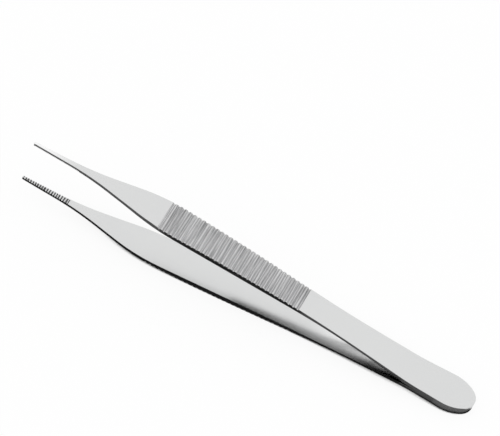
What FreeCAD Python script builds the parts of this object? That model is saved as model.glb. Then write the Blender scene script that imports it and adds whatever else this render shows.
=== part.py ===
import FreeCAD, Part
import math
import os
import Sketcher

# Thumb forceps: two sprung steel arms lie back to back and are welded together at the butt.
# Every arm is drawn in the same way. Its x axis runs from the jaw tip to the butt, y runs
# across the arm, and z points from the plane between the two arms towards its outer face.

SIZES = (
    # Places along the arm, from the jaw tip.
    ("overall_length", 120.0),
    ("neck_place", 15.2),
    ("knee_place", 28.6),
    ("grip_start", 35.3),
    ("grip_length", 38.8),
    ("grip_corner_place", 34.0),
    ("waist_place", 81.2),
    ("bow_place", 86.0),
    ("weld_start", 104.4),
    ("butt_place", 112.0),
    # Widths across the arm, at the corners of its outline before they are rounded.
    ("tip_width", 0.65),
    ("neck_width", 1.62),
    ("grip_width", 9.35),
    ("waist_width", 6.8),
    ("butt_width", 9.4),
    # Gaps between the inner faces of the two arms, at the corners of those faces.
    ("jaw_opening", 12.6),
    ("bow_opening", 5.06),
    # Thickness of one arm, between the corners of its two faces before they are rounded.
    ("tip_thickness", 0.76),
    ("knee_thickness", 0.94),
    ("grip_thickness", 1.9),
    ("spring_thickness", 0.59),
    ("butt_thickness", 1.2),
    # Rounding of the outline.
    ("tip_radius", 0.25),
    ("neck_radius", 70.0),
    ("grip_corner_radius", 50.0),
    ("waist_radius", 350.0),
    ("butt_shoulder_radius", 9.0),
    ("butt_nose_radius", 3.8),
    # Rounding of the bends, and the width of the flat that is ground along the outer edges.
    ("knee_radius", 110.0),
    ("crown_radius", 450.0),
    ("bow_radius", 280.0),
    ("sweep_radius", 1500.0),
    ("weld_bend_radius", 45.0),
    ("edge_break", 0.12),
    # Cross ribs on the outer face of the grip. Each groove is a vee with a rounded floor, and
    # its depth is that of the sharp vee.
    ("rib_pitch", 1.25),
    ("rib_groove_depth", 0.68),
    ("rib_floor_radius", 0.27),
    ("rib_gentle_angle", 50.0),
    ("rib_steep_angle", 64.0),
    # Cross teeth on the inner face of the jaw.
    ("tooth_start", 0.5),
    ("toothed_length", 12.2),
    ("tooth_pitch", 0.32),
    ("tooth_gap", 0.22),
    ("tooth_depth", 0.25),
    # How far a cutting outline reaches past the metal that it cuts.
    ("cut_margin", 2.0),
)

doc = FreeCAD.newDocument("ThumbForceps")
sheet = doc.addObject("Spreadsheet::Sheet", "Sizes")
for row, (alias, size) in enumerate(SIZES, start=1):
    sheet.set(f"A{row}", alias)
    sheet.set(f"B{row}", str(size))
    sheet.setAlias(f"B{row}", alias)
doc.recompute()


def number(expression):
    """The value of an expression over the sheet."""
    result = sheet.evalExpression(expression)
    return float(getattr(result, "Value", result))


def origin_plane(body, role):
    return next(item for item in body.Origin.OriginFeatures if item.Role == role)


def new_sketch(body, name, role):
    """An empty sketch on one of the body's own origin planes."""
    sketch = body.newObject("Sketcher::SketchObject", name)
    sketch.AttachmentSupport = [(origin_plane(body, role), "")]
    sketch.MapMode = "FlatFace"
    return sketch


def bind(sketch, constraint, name, expression):
    """Adds a dimension that follows an expression."""
    index = sketch.addConstraint(constraint)
    sketch.renameConstraint(index, name)
    sketch.setExpression(f"Constraints.{name}", expression)


def measure(sketch, constraint, name):
    """Adds a dimension that is only read."""
    index = sketch.addConstraint(constraint)
    sketch.setDriving(index, False)
    sketch.renameConstraint(index, name)


def fix_point(sketch, name, geometry, vertex, x, y):
    """Ties one point of a sketch to its two coordinates."""
    along = Sketcher.Constraint("DistanceX", -1, 1, geometry, vertex, number(x))
    bind(sketch, along, f"{name}_x", x)
    up = Sketcher.Constraint("DistanceY", -1, 1, geometry, vertex, number(y))
    bind(sketch, up, f"{name}_y", y)


def add_line(sketch, start, end):
    return sketch.addGeometry(Part.LineSegment(start, end), False)


def add_arc(sketch, centre, first, last):
    """A counterclockwise arc about a centre, between two points."""
    radius = (first - centre).Length
    circle = Part.Circle(centre, FreeCAD.Vector(0, 0, 1), radius)
    first_angle = math.atan2(first.y - centre.y, first.x - centre.x)
    last_angle = math.atan2(last.y - centre.y, last.x - centre.x)
    return sketch.addGeometry(Part.ArcOfCircle(circle, first_angle, last_angle), False)


def join(sketch, geometry, vertex, other, other_vertex):
    constraint = Sketcher.Constraint("Coincident", geometry, vertex, other, other_vertex)
    sketch.addConstraint(constraint)


def rounded_chain(sketch, stations, runs_on=False):
    """Straight runs through the stations, joined by tangent arcs.

    A station is a name, two coordinates and the radius that rounds its corner, or None for a
    sharp one. Where the chain runs on, its last run passes through the last station and ends
    at whatever it is joined to. Returns the lines in order, and the arcs by their station.
    """
    points = [FreeCAD.Vector(number(x), number(y), 0) for _, x, y, _ in stations]
    run_starts = list(points)
    run_ends = list(points)
    turns = [0.0] * len(points)
    for i in range(1, len(points) - 1):
        if stations[i][3]:
            before = (points[i] - points[i - 1]).normalize()
            after = (points[i + 1] - points[i]).normalize()
            turns[i] = math.atan2(before.cross(after).z, before.dot(after))
            setback = number(stations[i][3]) * math.tan(abs(turns[i]) / 2)
            run_ends[i] = points[i] - before * setback
            run_starts[i] = points[i] + after * setback
    lines = [add_line(sketch, run_starts[i], run_ends[i + 1]) for i in range(len(points) - 1)]
    name, x, y, _ = stations[0]
    fix_point(sketch, name, lines[0], 1, x, y)
    name, x, y, _ = stations[-1]
    if runs_on:
        passed = sketch.addGeometry(Part.Point(points[-1]), True)
        fix_point(sketch, name, passed, 1, x, y)
        sketch.addConstraint(Sketcher.Constraint("PointOnObject", passed, 1, lines[-1]))
    else:
        fix_point(sketch, name, lines[-1], 2, x, y)
    arcs = {}
    for i in range(1, len(points) - 1):
        name, x, y, radius = stations[i]
        if not radius:
            join(sketch, lines[i - 1], 2, lines[i], 1)
            fix_point(sketch, name, lines[i], 1, x, y)
            continue
        before = (points[i] - points[i - 1]).normalize()
        side = FreeCAD.Vector(-before.y, before.x, 0) * math.copysign(number(radius), turns[i])
        centre = run_ends[i] + side
        if turns[i] > 0:
            arc = add_arc(sketch, centre, run_ends[i], run_starts[i])
            near, far = 1, 2
        else:
            arc = add_arc(sketch, centre, run_starts[i], run_ends[i])
            near, far = 2, 1
        corner = sketch.addGeometry(Part.Point(points[i]), True)
        fix_point(sketch, name, corner, 1, x, y)
        sketch.addConstraint([
            Sketcher.Constraint("PointOnObject", corner, 1, lines[i - 1]),
            Sketcher.Constraint("PointOnObject", corner, 1, lines[i]),
            Sketcher.Constraint("Tangent", lines[i - 1], 2, arc, near),
            Sketcher.Constraint("Tangent", arc, far, lines[i], 1),
        ])
        bind(sketch, Sketcher.Constraint("Radius", arc, number(radius)), f"{name}_radius", radius)
        arcs[name] = arc
    return lines, arcs


def bridge(sketch, line, next_line):
    """Adds the run from the end of one line to the start of another."""
    run = add_line(sketch, sketch.getPoint(line, 2), sketch.getPoint(next_line, 1))
    join(sketch, line, 2, run, 1)
    join(sketch, run, 2, next_line, 1)


def side_profile(body):
    """The arm seen from the side: its bends, its tapers and the crown of its grip."""
    sketch = new_sketch(body, "SideProfile", "XZ_Plane")
    grip_middle = "(Sizes.grip_start + Sizes.grip_length / 2)"
    inner_at_grip = (
        "(Sizes.jaw_opening + (Sizes.bow_opening - Sizes.jaw_opening)"
        f" * ({grip_middle} - Sizes.knee_place) / (Sizes.bow_place - Sizes.knee_place)) / 2"
    )
    inner_lines, _ = rounded_chain(sketch, (
        ("jaw_root", "0", "Sizes.jaw_opening / 2", None),
        ("inner_knee", "Sizes.knee_place", "Sizes.jaw_opening / 2", "Sizes.knee_radius"),
        ("inner_bow", "Sizes.bow_place", "Sizes.bow_opening / 2", "Sizes.bow_radius"),
        ("inner_weld", "Sizes.weld_start", "0", "Sizes.weld_bend_radius"),
        ("inner_butt", "Sizes.overall_length", "0", None),
    ))
    outer_lines, outer_arcs = rounded_chain(sketch, (
        ("outer_butt", "Sizes.overall_length", "Sizes.butt_thickness", None),
        ("outer_weld", "Sizes.weld_start", "Sizes.butt_thickness",
         "Sizes.weld_bend_radius + Sizes.butt_thickness"),
        ("outer_bow", "Sizes.bow_place", "Sizes.bow_opening / 2 + Sizes.spring_thickness",
         "Sizes.sweep_radius"),
        ("crown", grip_middle, f"{inner_at_grip} + Sizes.grip_thickness", "Sizes.crown_radius"),
        ("outer_knee", "Sizes.knee_place", "Sizes.jaw_opening / 2 + Sizes.knee_thickness",
         "Sizes.knee_radius"),
        ("outer_tip", "0", "Sizes.jaw_opening / 2 + Sizes.tip_thickness", None),
    ))
    bridge(sketch, inner_lines[-1], outer_lines[0])
    bridge(sketch, outer_lines[-1], inner_lines[0])
    crown = outer_arcs["crown"]
    measure(sketch, Sketcher.Constraint("DistanceX", -1, 1, crown, 3, 1.0), "crown_centre_x")
    measure(sketch, Sketcher.Constraint("DistanceY", -1, 1, crown, 3, 1.0), "crown_centre_z")
    return sketch


def outline_waste(body):
    """The ground beside one half of the arm's outline, which is cut away."""
    sketch = new_sketch(body, "OutlineWaste", "XY_Plane")
    flank, _ = rounded_chain(sketch, (
        ("tip_middle", "0", "0", None),
        ("tip_corner", "0", "Sizes.tip_width / 2", "Sizes.tip_radius"),
        ("neck", "Sizes.neck_place", "Sizes.neck_width / 2", "Sizes.neck_radius"),
        ("grip_corner", "Sizes.grip_corner_place", "Sizes.grip_width / 2",
         "Sizes.grip_corner_radius"),
        ("waist", "Sizes.waist_place", "Sizes.waist_width / 2", "Sizes.waist_radius"),
        ("butt_side", "Sizes.butt_place", "Sizes.butt_width / 2", None),
    ), runs_on=True)

    # The butt ends in an oval: a wide shoulder arc that runs into a tighter nose arc.
    half_width = number("Sizes.butt_width / 2")
    nose_radius = number("Sizes.butt_nose_radius")
    shoulder_radius = number("Sizes.butt_shoulder_radius")
    spread = shoulder_radius - nose_radius
    lean = math.asin((shoulder_radius - half_width) / spread)
    outward = FreeCAD.Vector(math.cos(lean), math.sin(lean), 0)
    end = FreeCAD.Vector(number("Sizes.overall_length"), 0, 0)
    nose_centre = end - FreeCAD.Vector(nose_radius, 0, 0)
    meeting = nose_centre + outward * nose_radius
    shoulder_centre = nose_centre - outward * spread
    shoulder_top = shoulder_centre + FreeCAD.Vector(0, shoulder_radius, 0)
    shoulder = add_arc(sketch, shoulder_centre, meeting, shoulder_top)
    nose = add_arc(sketch, nose_centre, end, meeting)
    sketch.addConstraint([
        Sketcher.Constraint("Tangent", flank[-1], 2, shoulder, 2),
        Sketcher.Constraint("Tangent", shoulder, 1, nose, 2),
        Sketcher.Constraint("PointOnObject", nose, 3, -1),
    ])
    bind(sketch, Sketcher.Constraint("Radius", shoulder, shoulder_radius), "shoulder_radius",
         "Sizes.butt_shoulder_radius")
    bind(sketch, Sketcher.Constraint("Radius", nose, nose_radius), "nose_radius",
         "Sizes.butt_nose_radius")
    fix_point(sketch, "nose_end", nose, 1, "Sizes.overall_length", "0")

    far_side = "Sizes.grip_width / 2 + Sizes.cut_margin"
    rim, _ = rounded_chain(sketch, (
        ("rim_start", "Sizes.overall_length + Sizes.cut_margin", "0", None),
        ("rim_butt", "Sizes.overall_length + Sizes.cut_margin", far_side, None),
        ("rim_tip", "-Sizes.cut_margin", far_side, None),
        ("rim_end", "-Sizes.cut_margin", "0", None),
    ))
    lead = add_line(sketch, end, sketch.getPoint(rim[0], 1))
    join(sketch, nose, 1, lead, 1)
    join(sketch, lead, 2, rim[0], 1)
    bridge(sketch, rim[-1], flank[0])
    return sketch


def rib_groove(body, profile):
    """One groove between two ribs, drawn from the centre of the grip's crown.

    The flank towards the jaw is the gentle one, so that each rib has its steep flank there.
    """
    sketch = new_sketch(body, "RibGroove", "XZ_Plane")
    centre_x = f"{profile.Name}.Constraints.crown_centre_x"
    centre_z = f"{profile.Name}.Constraints.crown_centre_z"
    radius = "Sizes.crown_radius"
    first_place = "Sizes.grip_start + Sizes.rib_pitch / 2"
    sketch.AttachmentOffset = FreeCAD.Placement(
        FreeCAD.Vector(0, 0, 0), FreeCAD.Rotation(FreeCAD.Vector(0, 0, 1), 1.0))
    sketch.setExpression("AttachmentOffset.Base.x", centre_x)
    sketch.setExpression("AttachmentOffset.Base.y", centre_z)
    sketch.setExpression("AttachmentOffset.Rotation.Angle",
                         f"-asin(({first_place} - {centre_x} / 1 mm) / {radius})")
    reach = "(Sizes.rib_groove_depth + Sizes.cut_margin)"
    top = f"{radius} + Sizes.cut_margin"
    vee, _ = rounded_chain(sketch, (
        ("gentle_top", f"-{reach} / tan(Sizes.rib_gentle_angle * 1 deg)", top, None),
        ("vee_floor", "0", f"{radius} - Sizes.rib_groove_depth", "Sizes.rib_floor_radius"),
        ("steep_top", f"{reach} / tan(Sizes.rib_steep_angle * 1 deg)", top, None),
    ))
    bridge(sketch, vee[-1], vee[0])
    return sketch


def tooth_notch(body, start):
    """One notch between two teeth, on the inner face of the jaw."""
    sketch = new_sketch(body, "ToothNotch", "XZ_Plane")
    face = "Sizes.jaw_opening / 2"
    notch, _ = rounded_chain(sketch, (
        ("notch_front", start, face, None),
        ("notch_floor", f"{start} + Sizes.tooth_gap / 2", f"{face} + Sizes.tooth_depth", None),
        ("notch_back", f"{start} + Sizes.tooth_gap", face, None),
    ))
    bridge(sketch, notch[-1], notch[0])
    return sketch


def cut_through(body, name, sketch):
    """Cuts a sketch's outline out of the body, through all of it both ways."""
    pocket = body.newObject("PartDesign::Pocket", name)
    pocket.Profile = sketch
    pocket.Type = "ThroughAll"
    pocket.SideType = "Symmetric"
    return pocket


def outer_edges(shape):
    """The names of the edges all round the outer face of an arm."""
    names = []
    for i, edge in enumerate(shape.Edges, start=1):
        middle = edge.valueAt((edge.FirstParameter + edge.LastParameter) / 2)
        upward = []
        for face in shape.ancestorsOfType(edge, Part.Face):
            upward.append(face.normalAt(*face.Surface.parameter(middle)).z)
        if max(upward) > 0.9 and min(upward) < 0.1:
            names.append(f"Edge{i}")
    return names


def arm(label, first_notch):
    """One arm of the forceps, with its outer face upwards."""
    body = doc.addObject("PartDesign::Body", label)
    body.Label = label
    profile = side_profile(body)
    blank = body.newObject("PartDesign::Pad", "Blank")
    blank.Profile = profile
    blank.SideType = "Symmetric"
    blank.setExpression("Length", "Sizes.grip_width + Sizes.cut_margin")

    trim = cut_through(body, "OutlineTrim", outline_waste(body))
    other_trim = body.newObject("PartDesign::Mirrored", "OtherTrim")
    other_trim.Originals = [trim]
    other_trim.MirrorPlane = (origin_plane(body, "XZ_Plane"), [""])
    body.Tip = other_trim
    doc.recompute()

    edge_break = body.newObject("PartDesign::Chamfer", "OuterEdges")
    edge_break.Base = (other_trim, outer_edges(other_trim.Shape))
    edge_break.setExpression("Size", "Sizes.edge_break")
    body.Tip = edge_break
    doc.recompute()

    groove_sketch = rib_groove(body, profile)
    groove = cut_through(body, "RibCut", groove_sketch)
    ribs = body.newObject("PartDesign::PolarPattern", "Ribs")
    ribs.Originals = [groove]
    ribs.Axis = (groove_sketch, ["N_Axis"])
    ribs.Reversed = True
    ribs.setExpression("Occurrences", "floor(Sizes.grip_length / Sizes.rib_pitch)")
    ribs.setExpression("Angle", "(floor(Sizes.grip_length / Sizes.rib_pitch) - 1)"
                       " * Sizes.rib_pitch / Sizes.crown_radius * 180 / pi")
    body.Tip = ribs
    doc.recompute()

    notch = cut_through(body, "ToothCut", tooth_notch(body, first_notch))
    teeth = body.newObject("PartDesign::LinearPattern", "Teeth")
    teeth.Originals = [notch]
    teeth.Direction = (origin_plane(body, "X_Axis"), [""])
    teeth.setExpression("Occurrences", "floor(Sizes.toothed_length / Sizes.tooth_pitch)")
    teeth.setExpression("Length", "(floor(Sizes.toothed_length / Sizes.tooth_pitch) - 1)"
                        " * Sizes.tooth_pitch")
    body.Tip = teeth
    doc.recompute()
    return body


def resting_turn(profile):
    """How far the forceps tips butt down, in degrees, when they lie on the lower arm.

    The level surface touches the crown of the grip and the broken edge at the end of the butt.
    """
    read = {item.Name: item.Value for item in profile.Constraints}
    crown_centre = FreeCAD.Vector(read["crown_centre_x"], -read["crown_centre_z"], 0)
    butt_edge = FreeCAD.Vector(number("Sizes.overall_length - Sizes.edge_break"),
                               number("-Sizes.butt_thickness"), 0)
    span = butt_edge - crown_centre
    lean = math.acos(number("Sizes.crown_radius") / span.Length)
    return 90 + math.degrees(math.atan2(span.y, span.x) - lean)


# The arms have their teeth half a pitch apart, so that the jaws mesh when they are closed.
upper_arm = arm("upper_arm", "Sizes.tooth_start")
lower_arm = arm("lower_arm", "Sizes.tooth_start + Sizes.tooth_pitch / 2")

# The forceps lie as they come to rest, with the middle of their base at the origin.
turn = FreeCAD.Rotation(FreeCAD.Vector(0, 1, 0), resting_turn(upper_arm.Group[0]))
turned_over = turn * FreeCAD.Rotation(FreeCAD.Vector(1, 0, 0), 180)
placings = ((upper_arm, turn), (lower_arm, turned_over))
for body, rotation in placings:
    body.Placement = FreeCAD.Placement(FreeCAD.Vector(0, 0, 0), rotation)
box = Part.Compound([body.Shape for body, _ in placings]).optimalBoundingBox()
shift = FreeCAD.Vector(-box.Center.x, -box.Center.y, -box.ZMin)
for body, rotation in placings:
    body.Placement = FreeCAD.Placement(shift, rotation)
doc.recompute()

for item in doc.Objects:
    if "Invalid" in item.State or "Error" in item.State:
        raise RuntimeError(f"{item.Name} could not be worked out")
os.makedirs("parts", exist_ok=True)
for body, _ in placings:
    if body.Shape.isNull() or not body.Shape.isValid() or len(body.Shape.Solids) != 1:
        raise RuntimeError(f"{body.Label} is not one sound solid")
    body.Shape.exportStep(f"parts/{body.Label}.step")
    print(body.Label, "volume", round(body.Shape.Volume, 2), "mm3")
print("rests turned by", round(resting_turn(upper_arm.Group[0]), 3), "degrees")
print("overall box", Part.Compound([body.Shape for body, _ in placings]).optimalBoundingBox())
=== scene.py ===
# %% [markdown]
# # Thumb forceps in satin steel
# Surgical thumb forceps are two sprung arms of stainless steel, welded together at the butt. The
# solids are already modelled at their real size, with their ribs and teeth, and this lesson gives
# them their finish, their light and their camera. It starts by loading the solids as a fixed
# frame, in metres.

# %% Load the solids
import math

import bmesh
import bpy
from mathutils import Matrix, Vector


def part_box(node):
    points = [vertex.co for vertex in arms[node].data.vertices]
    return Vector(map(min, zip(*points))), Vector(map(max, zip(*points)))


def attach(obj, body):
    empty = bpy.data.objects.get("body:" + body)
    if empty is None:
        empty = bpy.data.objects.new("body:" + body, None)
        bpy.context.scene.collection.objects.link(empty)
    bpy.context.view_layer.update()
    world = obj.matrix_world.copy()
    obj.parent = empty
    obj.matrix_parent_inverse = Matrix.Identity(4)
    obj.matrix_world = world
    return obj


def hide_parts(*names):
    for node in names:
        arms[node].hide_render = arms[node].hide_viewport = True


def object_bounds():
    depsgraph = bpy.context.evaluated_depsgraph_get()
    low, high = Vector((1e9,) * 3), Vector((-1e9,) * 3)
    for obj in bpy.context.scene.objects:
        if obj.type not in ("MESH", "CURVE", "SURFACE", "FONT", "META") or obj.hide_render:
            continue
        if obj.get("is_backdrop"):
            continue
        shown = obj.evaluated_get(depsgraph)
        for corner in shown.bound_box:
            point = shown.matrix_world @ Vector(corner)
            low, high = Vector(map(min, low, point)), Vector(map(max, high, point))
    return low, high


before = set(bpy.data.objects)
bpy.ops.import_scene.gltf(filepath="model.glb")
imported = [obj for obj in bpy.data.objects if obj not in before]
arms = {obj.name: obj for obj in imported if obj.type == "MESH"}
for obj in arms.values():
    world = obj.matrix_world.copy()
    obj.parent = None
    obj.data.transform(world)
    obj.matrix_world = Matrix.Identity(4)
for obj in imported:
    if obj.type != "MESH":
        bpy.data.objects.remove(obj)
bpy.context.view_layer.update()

MM = 0.001
UM = 0.001 * MM
for name, arm in arms.items():
    print(name, "has", len(arm.data.polygons), "triangles")

# %% [markdown]
# ## The camera
# The photograph looks down on the near side of the forceps with a long lens, and it is turned, so
# that the tips point up to the left. A camera can be placed by typing a location and three
# angles, but they say little about the picture. Here it stands at a distance from the point that
# it looks at, in a direction given by a compass angle and a height angle, and is then rolled
# about its own line of sight.

# %% Place the camera
AIM = Vector((-7.38, 15.59, 8.50)) * MM
DISTANCE = 708.9 * MM
COMPASS_ANGLE = math.radians(-11.09)
HEIGHT_ANGLE = math.radians(49.13)
ROLL = math.radians(17.55)
SENSOR_WIDTH_MM = 36.0
LENS_MM = 213.7
NEAREST_SEEN = 10 * MM

sight = Vector((
    math.sin(COMPASS_ANGLE) * math.cos(HEIGHT_ANGLE),
    math.cos(COMPASS_ANGLE) * math.cos(HEIGHT_ANGLE),
    -math.sin(HEIGHT_ANGLE),
))
lens = bpy.data.cameras.new("camera")
lens.sensor_width = SENSOR_WIDTH_MM
lens.lens = LENS_MM
lens.clip_start = NEAREST_SEEN
camera = bpy.data.objects.new("camera", lens)
bpy.context.scene.collection.objects.link(camera)
level = sight.to_track_quat("-Z", "Y").to_matrix().to_4x4()
stand = Matrix.Translation(AIM - sight * DISTANCE)
camera.matrix_world = stand @ level @ Matrix.Rotation(ROLL, 4, "Z")
bpy.context.scene.camera = camera
print("the camera stands at", [round(value, 4) for value in camera.location])

# %% [markdown]
# ## The light
# Metal has no colour of its own to speak of: it shows its surroundings. Instruments are
# photographed in a tent of white cloth, so that every face that looks up is an even pale grey.
# The tent could be modelled with large lamps, but a world shader does the same with less: it is
# an even white overhead, which fades towards the horizon, so that the slopes of the ribs stay
# darker than the flat faces. The camera itself sees plain white all round, as on a page.

# %% Build the tent
TENT_OVERHEAD = 1.0
TENT_HORIZON = 0.45
FADE_LOW = -0.05
FADE_HIGH = 0.42


def join(tree, *pairs):
    """Links each pair of sockets of one node tree."""
    for source, target in pairs:
        tree.links.new(source, target)


def add_math(tree, operation, second=0.5):
    """Adds a Math node to a node tree, with a second value for where nothing is linked to it."""
    node = tree.nodes.new("ShaderNodeMath")
    node.operation = operation
    node.inputs[1].default_value = second
    return node


def add_ramp(tree, low, high, start=0.0, end=1.0, steps="SMOOTHSTEP"):
    """Adds a node that goes from start to end while its value goes from low to high."""
    node = tree.nodes.new("ShaderNodeMapRange")
    node.interpolation_type = steps
    node.inputs["From Min"].default_value = low
    node.inputs["From Max"].default_value = high
    node.inputs["To Min"].default_value = start
    node.inputs["To Max"].default_value = end
    return node


world = bpy.data.worlds.new("tent")
bpy.context.scene.world = world
world.use_nodes = True
tree = world.node_tree
tree.nodes.clear()
where = tree.nodes.new("ShaderNodeTexCoord")
split = tree.nodes.new("ShaderNodeSeparateXYZ")
rise = add_ramp(tree, FADE_LOW, FADE_HIGH, TENT_HORIZON, TENT_OVERHEAD)
path = tree.nodes.new("ShaderNodeLightPath")
brighter = add_math(tree, "MAXIMUM")
cloth = tree.nodes.new("ShaderNodeBackground")
cloth.inputs["Color"].default_value = (1.0, 1.0, 1.0, 1.0)
out = tree.nodes.new("ShaderNodeOutputWorld")
join(
    tree,
    (where.outputs["Generated"], split.inputs["Vector"]),
    (split.outputs["Z"], rise.inputs["Value"]),
    (rise.outputs["Result"], brighter.inputs[0]),
    (path.outputs["Is Camera Ray"], brighter.inputs[1]),
    (brighter.outputs["Value"], cloth.inputs["Strength"]),
    (cloth.outputs["Background"], out.inputs["Surface"]),
)
print("the tent is", TENT_OVERHEAD, "bright overhead and", TENT_HORIZON, "at the horizon")

# %% [markdown]
# ## The table
# The forceps lie on a plain white table. A cube or a stock plane would do for one, but the cards
# of a later step are flat boards with other outlines, so one function makes a board from its
# corners, and another mixes its paint, which has no shine and so mirrors nothing.

# %% Lay the table
TABLE_SIDE = 4.0
TABLE_PAINT = 0.98
PAINT_ROUGHNESS = 0.9


def flat_board(title, corners, paint):
    """Makes one flat board with these corners, as a part of the studio."""
    board = bmesh.new()
    bmesh.ops.contextual_create(board, geom=[board.verts.new(corner) for corner in corners])
    mesh = bpy.data.meshes.new(title)
    board.to_mesh(mesh)
    board.free()
    mesh.materials.append(paint)
    made = bpy.data.objects.new(title, mesh)
    bpy.context.scene.collection.objects.link(made)
    made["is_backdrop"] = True
    return made


def dull_paint(title, shade):
    """Makes a white, grey or black paint with no shine."""
    paint = bpy.data.materials.new(title)
    paint.use_nodes = True
    coat = paint.node_tree.nodes["Principled BSDF"]
    coat.inputs["Base Color"].default_value = (shade, shade, shade, 1.0)
    coat.inputs["Roughness"].default_value = PAINT_ROUGHNESS
    coat.inputs["Specular IOR Level"].default_value = 0.0
    return paint


white = dull_paint("table_white", TABLE_PAINT)
half = TABLE_SIDE / 2
flat_board("table", ((-half, -half, 0), (half, -half, 0), (half, half, 0), (-half, half, 0)), white)
print("the table is", TABLE_SIDE, "m wide")

# %% [markdown]
# ## The white of the table
# The paint is nearly white, but the soft shadow of the arms would still grey it more than the
# photograph does. More light would burn out the steel, so the paint is mixed with a plain white
# for the rays that look at it, straight from the camera or by a reflection, and light that is
# scattered from it stays as it was. An ambient occlusion node takes both the white and the paint
# away where steel is very close. This paints a thin dark contact shadow into the table: a painted
# shadow that keeps the forceps on the table.

# %% Whiten the table
TABLE_GLOW = 0.88
SHADOW_REACH = 2.0 * MM
SHADOW_SAMPLES = 8
SHUT_IN = 0.22
OPEN_ENOUGH = 0.45

tree = white.node_tree
paint = tree.nodes["Principled BSDF"]
glow = tree.nodes.new("ShaderNodeEmission")
path = tree.nodes.new("ShaderNodeLightPath")
nearness = tree.nodes.new("ShaderNodeAmbientOcclusion")
nearness.samples = SHADOW_SAMPLES
nearness.inputs["Distance"].default_value = SHADOW_REACH
open_sky = add_ramp(tree, SHUT_IN, OPEN_ENOUGH, steps="LINEAR")
# painted contact shadow: the table's paint is darkened where steel is close
paint_with_contact_shadow = add_math(tree, "MULTIPLY", TABLE_PAINT)
glow_share = add_math(tree, "MULTIPLY", TABLE_GLOW)
looked_at = add_math(tree, "MAXIMUM")
looked_through = add_math(tree, "MAXIMUM")
share = add_math(tree, "MULTIPLY")
mixed = tree.nodes.new("ShaderNodeMixShader")
join(
    tree,
    (path.outputs["Is Camera Ray"], looked_at.inputs[0]),
    (path.outputs["Is Glossy Ray"], looked_at.inputs[1]),
    (looked_at.outputs["Value"], looked_through.inputs[0]),
    (path.outputs["Is Transmission Ray"], looked_through.inputs[1]),
    (nearness.outputs["AO"], open_sky.inputs["Value"]),
    (open_sky.outputs["Result"], paint_with_contact_shadow.inputs[0]),
    (paint_with_contact_shadow.outputs["Value"], paint.inputs["Base Color"]),
    (open_sky.outputs["Result"], glow_share.inputs[0]),
    (looked_through.outputs["Value"], share.inputs[0]),
    (glow_share.outputs["Value"], share.inputs[1]),
    (share.outputs["Value"], mixed.inputs["Fac"]),
    (paint.outputs["BSDF"], mixed.inputs[1]),
    (glow.outputs["Emission"], mixed.inputs[2]),
    (mixed.outputs["Shader"], tree.nodes["Material Output"].inputs["Surface"]),
)
print("the contact shadow reaches", SHADOW_REACH / MM, "mm")

# %% [markdown]
# ## The dark cards
# On a white table, steel in a white tent would be white all round, and its narrow sides would
# vanish. A photographer lays dark cards beside it, just outside the picture, and the sides
# mirror them. Real cards would have to stay out of view, but these are seen only by reflections,
# so that they can lie right beside the arms. They are black along the lower arm, round its tip
# and in front of the grip, dark grey in front of the rest, and a little paler at the end of the
# butt. Behind the arms lies a black card with a slanting edge, where the upper arm would throw
# its shadow: the gap mirrors it and darkens towards the butt. The corners are in millimetres.

# %% Lay the cards
CARD_BLACK = 0.015
CARD_GREY = 0.11
CARD_PALE = 0.18
CARD_LIFT = 0.02
CARDS = {
    "grey_card": (((-80, -60), (60, -60), (60, -2), (-80, -2)), CARD_GREY),
    "black_strip": (((-80, -7.5), (42, -7.5), (42, -2), (-60.6, -2), (-60.6, 3), (-80, 3)), CARD_BLACK),
    "grip_card": (((-26, -22), (14, -22), (14, -2), (-26, -2)), CARD_BLACK),
    "nose_card": (((51, -9), (64, -9), (64, -1), (51, -1)), CARD_PALE),
    # painted shadow: this black card under the butt stands in for the table's contact shadow there
    "butt_contact_shadow": (((40, -5.5), (48, -5.6), (52, -5.5), (55, -5.2), (57.3, -4.4), (59, -3.2),
                    (60.3, -1.8), (60.8, 0), (40, 0)), CARD_BLACK),
    "shadow_card": (((-8, 2), (46, 2), (40, 2.6), (25, 5.8), (11, 9.7), (-8, 15)), CARD_BLACK),
}


def show_only_to_reflections(card):
    """Hides a card from everything but reflections."""
    card.visible_camera = False
    card.visible_diffuse = False
    card.visible_transmission = False
    card.visible_shadow = False


for layer, (title, (outline, shade)) in enumerate(CARDS.items(), start=1):
    corners = [Vector((x, y, layer * CARD_LIFT)) * MM for x, y in outline]
    card = flat_board(title, corners, dull_paint(title, shade))
    show_only_to_reflections(card)
    print(title, "covers", round(card.data.polygons[0].area / MM**2), "square mm")

# %% [markdown]
# ## One copy of each arm
# The loaded arms are loose triangles, good for measuring, but each triangle is shaded flat. A
# modeller could redraw the arms with subdivision surfaces, at the risk of changing their form.
# Here each arm is copied as it is: its corners are welded, its faces are shaded smooth, and only
# the real creases are kept sharp. The broken outer edge is left smooth on both its sides, and
# normals weighted by area then shade its flat facet as the small round that polishing leaves.

# %% Copy the arms
WELD_DISTANCE = 0.001 * MM
CREASE_ANGLE = math.radians(24)
GRIP_START = 35.3 * MM
GRIP_LENGTH = 38.8 * MM
BEVEL_STEEPEST = 0.5
BEVEL_FLATTEST = 0.88
BEVEL_SIDEWAYS = 0.45
UP = {"upper_arm": 1.0, "lower_arm": -1.0}
JAW_END = {arm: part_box(arm)[0][0] for arm in arms}


def zone(face, arm, start, length):
    """Says whether the middle of a face lies within a stretch that is measured from the jaw's end."""
    along = face.calc_center_median().x - JAW_END[arm]
    return start <= along <= start + length


def is_broken_edge(face, arm):
    """Says whether a face belongs to the narrow bevel round the outer face."""
    outward = face.normal.z * UP[arm]
    sideways = abs(face.normal.y) > BEVEL_SIDEWAYS
    on_grip = zone(face, arm, GRIP_START, GRIP_LENGTH)
    return BEVEL_STEEPEST < outward < BEVEL_FLATTEST and (sideways or not on_grip)


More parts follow.
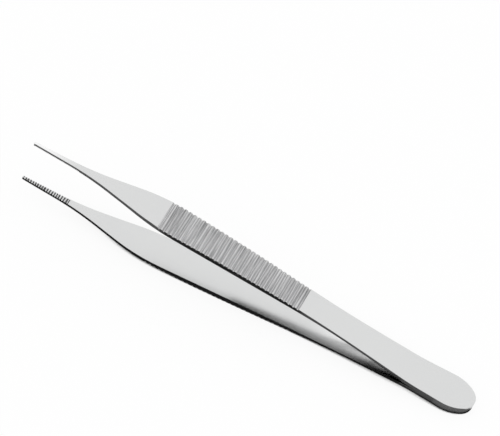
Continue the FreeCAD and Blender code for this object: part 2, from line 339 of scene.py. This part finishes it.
def copy_arm(arm):
    """Makes a welded, smooth-shaded copy of one loaded arm."""
    shell = bmesh.new()
    shell.from_mesh(arms[arm].data)
    bmesh.ops.remove_doubles(shell, verts=shell.verts, dist=WELD_DISTANCE)
    bevel_faces = {face for face in shell.faces if is_broken_edge(face, arm)}
    for face in shell.faces:
        face.smooth = True
    for edge in shell.edges:
        beside_bevel = any(face in bevel_faces for face in edge.link_faces)
        edge.smooth = beside_bevel or edge.calc_face_angle(0.0) < CREASE_ANGLE
    mesh = bpy.data.meshes.new(arm + "_finished")
    shell.to_mesh(mesh)
    print(mesh.name, "keeps", sum(not edge.smooth for edge in shell.edges), "creased edges")
    shell.free()
    made = bpy.data.objects.new(mesh.name, mesh)
    bpy.context.scene.collection.objects.link(made)
    weighted = made.modifiers.new("weighted normals", "WEIGHTED_NORMAL")
    weighted.mode = "FACE_AREA"
    weighted.keep_sharp = True
    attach(made, "root")
    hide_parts(arm)
    return made


finished = {arm: copy_arm(arm) for arm in arms}

# %% [markdown]
# ## The grain of the steel
# No ground or milled steel is perfectly even: each tool leaves lines, fine ones where it polished
# and coarse ones where it cut. An image of brushed steel would need its own UV map and would be
# coarse in close views. A noise texture that is stretched by unlike scales along the three axes
# draws such lines at any size, so one node group holds it, and every finish of the forceps uses
# it with its own lines and its own contrast.

# %% Build the grain
GRAIN_DETAIL = 3.0
GRAIN_FINENESS = 0.6


def build_grain():
    """Makes the node group that turns a number of lines per metre along each axis into grain."""
    group = bpy.data.node_groups.new("steel_grain", "ShaderNodeTree")
    group.interface.new_socket("Lines", in_out="INPUT", socket_type="NodeSocketVector")
    group.interface.new_socket("Darkest", in_out="INPUT", socket_type="NodeSocketFloat")
    group.interface.new_socket("Palest", in_out="INPUT", socket_type="NodeSocketFloat")
    group.interface.new_socket("Grain", in_out="OUTPUT", socket_type="NodeSocketFloat")
    entry = group.nodes.new("NodeGroupInput")
    leave = group.nodes.new("NodeGroupOutput")
    place = group.nodes.new("ShaderNodeTexCoord")
    stretch = group.nodes.new("ShaderNodeVectorMath")
    stretch.operation = "MULTIPLY"
    noise = group.nodes.new("ShaderNodeTexNoise")
    noise.inputs["Scale"].default_value = 1.0
    noise.inputs["Detail"].default_value = GRAIN_DETAIL
    noise.inputs["Roughness"].default_value = GRAIN_FINENESS
    contrast = group.nodes.new("ShaderNodeMapRange")
    join(
        group,
        (place.outputs["Object"], stretch.inputs[0]),
        (entry.outputs["Lines"], stretch.inputs[1]),
        (stretch.outputs["Vector"], noise.inputs["Vector"]),
        (noise.outputs["Fac"], contrast.inputs["Value"]),
        (entry.outputs["Darkest"], contrast.inputs["From Min"]),
        (entry.outputs["Palest"], contrast.inputs["From Max"]),
        (contrast.outputs["Result"], leave.inputs["Grain"]),
    )
    return group


grain = build_grain()
print(grain.name, "has", [item.name for item in grain.interface.items_tree])

# %% [markdown]
# ## A finish from its grain
# All finishes are the same metal, and differ only in their lines, their tone and their shine. The
# nodes could be copied from one material to the next, but a change would then be made five times.
# One function adds up the layers of grain by weight, and the sum drives the tone, the roughness
# and a very shallow bump together, as the lines of a real tool are duller and deeper at once.

# %% Describe a finish
EVEN_SPREAD = (0.32, 0.68)


def add_layers(tree, layers, spread):
    """Adds up layers of grain, each with its lines and its weight, and gives the sum."""
    total = None
    for lines, weight in layers:
        layer = tree.nodes.new("ShaderNodeGroup")
        layer.node_tree = grain
        layer.inputs["Lines"].default_value = lines
        layer.inputs["Darkest"].default_value = spread[0]
        layer.inputs["Palest"].default_value = spread[1]
        weigh = add_math(tree, "MULTIPLY_ADD", weight)
        weigh.inputs[2].default_value = 0.0
        join(tree, (layer.outputs["Grain"], weigh.inputs[0]))
        if total is not None:
            join(tree, (total, weigh.inputs[2]))
        total = weigh.outputs["Value"]
    return total


def steel_finish(title, layers, dull, pale, smoothest, roughest, depth, spread=EVEN_SPREAD):
    """Makes a steel whose tone, roughness and relief follow a weighted sum of grain layers."""
    steel = bpy.data.materials.new(title)
    steel.use_nodes = True
    tree = steel.node_tree
    surface = tree.nodes["Principled BSDF"]
    surface.inputs["Metallic"].default_value = 1.0
    total = add_layers(tree, layers, spread)
    tone = tree.nodes.new("ShaderNodeMix")
    tone.name = "tone"
    tone.data_type = "RGBA"
    tone.inputs["A"].default_value = (*dull, 1.0)
    tone.inputs["B"].default_value = (*pale, 1.0)
    polish = add_ramp(tree, 0.0, 1.0, roughest, smoothest, steps="LINEAR")
    relief = tree.nodes.new("ShaderNodeBump")
    relief.inputs["Distance"].default_value = depth
    join(
        tree,
        (total, tone.inputs["Factor"]),
        (total, polish.inputs["Value"]),
        (total, relief.inputs["Height"]),
        (tone.outputs["Result"], surface.inputs["Base Color"]),
        (polish.outputs["Result"], surface.inputs["Roughness"]),
        (relief.outputs["Normal"], surface.inputs["Normal"]),
    )
    print(title, "has", len(layers), "layers of grain")
    return steel


print("noise from", EVEN_SPREAD[0], "to", EVEN_SPREAD[1], "spans a finish from dull to pale")

# %% [markdown]
# ## The satin faces
# The broad faces are blasted with fine glass beads and then brushed lightly along the arm, which
# gives them an even, soft shine. The fine dimples, the brush lines and a faint cloudiness are
# three layers of the same grain, and the tone hardly varies, because the photograph shows these
# faces almost uniform.

# %% Finish the faces
DIMPLES = (7000, 7000, 7000)
BRUSH_LINES = (150, 4500, 4500)
CLOUDS = (45, 45, 45)

satin = steel_finish(
    "satin_face",
    [(DIMPLES, 0.3), (BRUSH_LINES, 0.3), (CLOUDS, 0.4)],
    dull=(0.683, 0.686, 0.688), pale=(0.715, 0.722, 0.718),
    smoothest=0.16, roughest=0.22, depth=0.5 * UM,
)

# %% [markdown]
# ## The inner faces
# In the narrow end of the gap the inner faces are painted brighter, as a painted reflection, and
# along their borders near the weld they are painted dark, as painted shade in the gap. Masks could
# be painted for both. As they only depend on how far along the arm and how near its border a place
# is, ramps of colour are enough, and the rest of these faces is the satin of the outer ones. All
# the distances are measured back from the weld.

# %% Finish the inner faces
WELD_START = 104.4 * MM
HALF_WIDTH = 3.7 * MM
BRIGHT = (0.93, 0.93, 0.93, 1.0)
GAP_SHADE_BLACK = (0.03, 0.03, 0.03, 1.0)
GAP_LIGHT_START = 29.0 * MM
GAP_LIGHT_END = 14.0 * MM
GAP_SHADE_START = 30.0 * MM
GAP_SHADE_END = 8.0 * MM
UNSHADED_SHARE = 0.2


def tint_along(steel, clear, full, tone):
    """Fades the colour of a finish along the arm, from unchanged at one place to a tone at another."""
    tree = steel.node_tree
    place = tree.nodes.new("ShaderNodeTexCoord")
    split = tree.nodes.new("ShaderNodeSeparateXYZ")
    amount = add_ramp(tree, clear, full)
    before = tree.nodes["tone"]
    before.name = "tone_before"
    faded = tree.nodes.new("ShaderNodeMix")
    faded.name = "tone"
    faded.data_type = "RGBA"
    faded.inputs["B"].default_value = tone
    join(
        tree,
        (place.outputs["Object"], split.inputs["Vector"]),
        (split.outputs["X"], amount.inputs["Value"]),
        (amount.outputs["Result"], faded.inputs["Factor"]),
        (before.outputs["Result"], faded.inputs["A"]),
        (faded.outputs["Result"], tree.nodes["Principled BSDF"].inputs["Base Color"]),
    )
    print(steel.name, "changes from", round(clear / MM, 1), "to", round(full / MM, 1), "mm")
    return split, amount


def keep_to_borders(steel, split, amount):
    """Holds a tint back from the middle of the arm, so that it shows along both borders."""
    tree = steel.node_tree
    off_centre = add_math(tree, "ABSOLUTE")
    near_border = add_ramp(tree, UNSHADED_SHARE * HALF_WIDTH, HALF_WIDTH)
    join(
        tree,
        (split.outputs["Y"], off_centre.inputs[0]),
        (off_centre.outputs["Value"], near_border.inputs["Value"]),
        (near_border.outputs["Result"], amount.inputs["To Max"]),
    )


inner = satin.copy()
inner.name = "satin_inner_face"
weld = JAW_END["lower_arm"] + WELD_START
# painted light: the inner faces are painted brighter in the narrow end of the gap
tint_along(inner, weld - GAP_LIGHT_START, weld - GAP_LIGHT_END, BRIGHT)
# painted shade: the inner faces are painted dark along their borders near the weld
keep_to_borders(inner, *tint_along(inner, weld - GAP_SHADE_START, weld - GAP_SHADE_END, GAP_SHADE_BLACK))

# %% [markdown]
# ## The tips
# The last centimetre of the jaws is lighter than the rest. It could be a material of its own,
# with a hard border, but the same ramp along the arm fades one into the other.

# %% Lighten the tips
TIP_START = 13.0 * MM
TIP_END = 2.0 * MM

jaw = JAW_END["upper_arm"]
tint_along(satin, jaw + TIP_START, jaw + TIP_END, BRIGHT)

# %% [markdown]
# ## The edges and the ribs
# The narrow edges are ground along the arm on a belt, so their lines run lengthwise. The ribs are
# milled across the grip, and the cutter leaves them duller than the faces, with fine streaks that
# run from side to side and are no two alike. Their bump could be modelled, but it is far finer
# than the ribs, and the grain draws it with the same function as on the faces.

# %% Finish the edges and the ribs
BELT_LINES = (120, 6000, 6000)
MILLED_STREAKS = (9500, 90, 90)
MILLED_BANDS = (1600, 50, 50)

ground = steel_finish(
    "ground_edge",
    [(BELT_LINES, 0.7), (CLOUDS, 0.3)],
    dull=(0.60, 0.60, 0.605), pale=(0.74, 0.74, 0.74),
    smoothest=0.2, roughest=0.3, depth=0.6 * UM,
)
milled = steel_finish(
    "milled_rib",
    [(MILLED_STREAKS, 0.9), (MILLED_BANDS, 0.1)],
    dull=(0.26, 0.26, 0.263), pale=(0.71, 0.71, 0.713),
    smoothest=0.45, roughest=0.6, depth=3.0 * UM, spread=(0.35, 0.56),
)

# %% [markdown]
# ## The teeth
# The teeth of the jaws are finer than the eye can count, and what shows of them is a coarser beat
# of light and shade. Noise as fine as the teeth would blur into grey, so a wave texture paints the
# beat into the colour as painted light and shade, over the real notches and a little distorted.
# Its bands turn by 20 radians for each unit of its scale, which gives the scale for a beat of a
# known length.

# %% Finish the teeth
BEAT = 0.65 * MM
BEAT_DISTORTION = 3.0
BEAT_DETAIL = 1.0
RADIANS_PER_SCALE = 20
WAVES_PER_SCALE = RADIANS_PER_SCALE / (2 * math.pi)


def paint_tooth_shading(steel, pitch):
    """Paints light and dark stripes across the arm, the painted light and shade of the teeth, one pair
    to each pitch.
    """
    tree = steel.node_tree
    place = tree.nodes.new("ShaderNodeTexCoord")
    stripes = tree.nodes.new("ShaderNodeTexWave")
    stripes.inputs["Scale"].default_value = 1 / (WAVES_PER_SCALE * pitch)
    stripes.inputs["Distortion"].default_value = BEAT_DISTORTION
    stripes.inputs["Detail"].default_value = BEAT_DETAIL
    join(
        tree,
        (place.outputs["Object"], stripes.inputs["Vector"]),
        (stripes.outputs["Fac"], tree.nodes["tone"].inputs["Factor"]),
    )


toothed = steel_finish(
    "cut_tooth",
    [(DIMPLES, 1.0)],
    dull=(0.12, 0.12, 0.12), pale=(0.97, 0.97, 0.97),
    smoothest=0.25, roughest=0.4, depth=1.0 * UM,
)
paint_tooth_shading(toothed, BEAT)

# %% [markdown]
# ## Each finish on its faces
# The finishes meet at real edges of the solids, so each triangle gets one of them by the way that
# it looks and by how far along the arm it lies. Painting them by hand would have to be done
# again whenever a size changes.

# %% Give each face its finish
TEETH_START = 0.4 * MM
TEETH_LENGTH = 12.3 * MM
FLAT_ENOUGH = 0.5
FINISHES = {"satin": satin, "inner": inner, "ground": ground, "milled": milled, "toothed": toothed}


def choose_finish(face, arm):
    """Names the finish of one triangle of an arm."""
    outward = face.normal.z * UP[arm]
    if is_broken_edge(face, arm):
        return "satin"
    if abs(face.normal.y) > FLAT_ENOUGH:
        return "ground"
    if outward > 0 and zone(face, arm, GRIP_START, GRIP_LENGTH):
        return "milled"
    if outward < 0 and zone(face, arm, TEETH_START, TEETH_LENGTH):
        return "toothed"
    if abs(outward) < FLAT_ENOUGH:
        return "ground"
    return "satin" if outward > 0 else "inner"


def apply_finishes(piece, arm):
    """Puts every finish in the material slots of a piece and gives each of its faces one."""
    order = list(FINISHES)
    piece.data.materials.clear()
    for title in order:
        piece.data.materials.append(FINISHES[title])
    shell = bmesh.new()
    shell.from_mesh(piece.data)
    shell.normal_update()
    counts = dict.fromkeys(order, 0)
    for face in shell.faces:
        title = choose_finish(face, arm)
        face.material_index = order.index(title)
        counts[title] += 1
    shell.to_mesh(piece.data)
    shell.free()
    print(piece.name, counts)


for arm, piece in finished.items():
    apply_finishes(piece, arm)

# %% [markdown]
# ## The picture and the sizes
# A filmic view would turn the white table grey and soften the blacks, so the picture keeps the
# Standard view, in which a colour shows as it is written. The box of the finished pieces is then
# written out: the finish must not change the size.

# %% Set the view and write the sizes
bpy.context.scene.view_settings.view_transform = "Standard"
low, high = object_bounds()
print("the finished pieces measure", [round(side / MM, 2) for side in Vector(high) - Vector(low)], "mm")
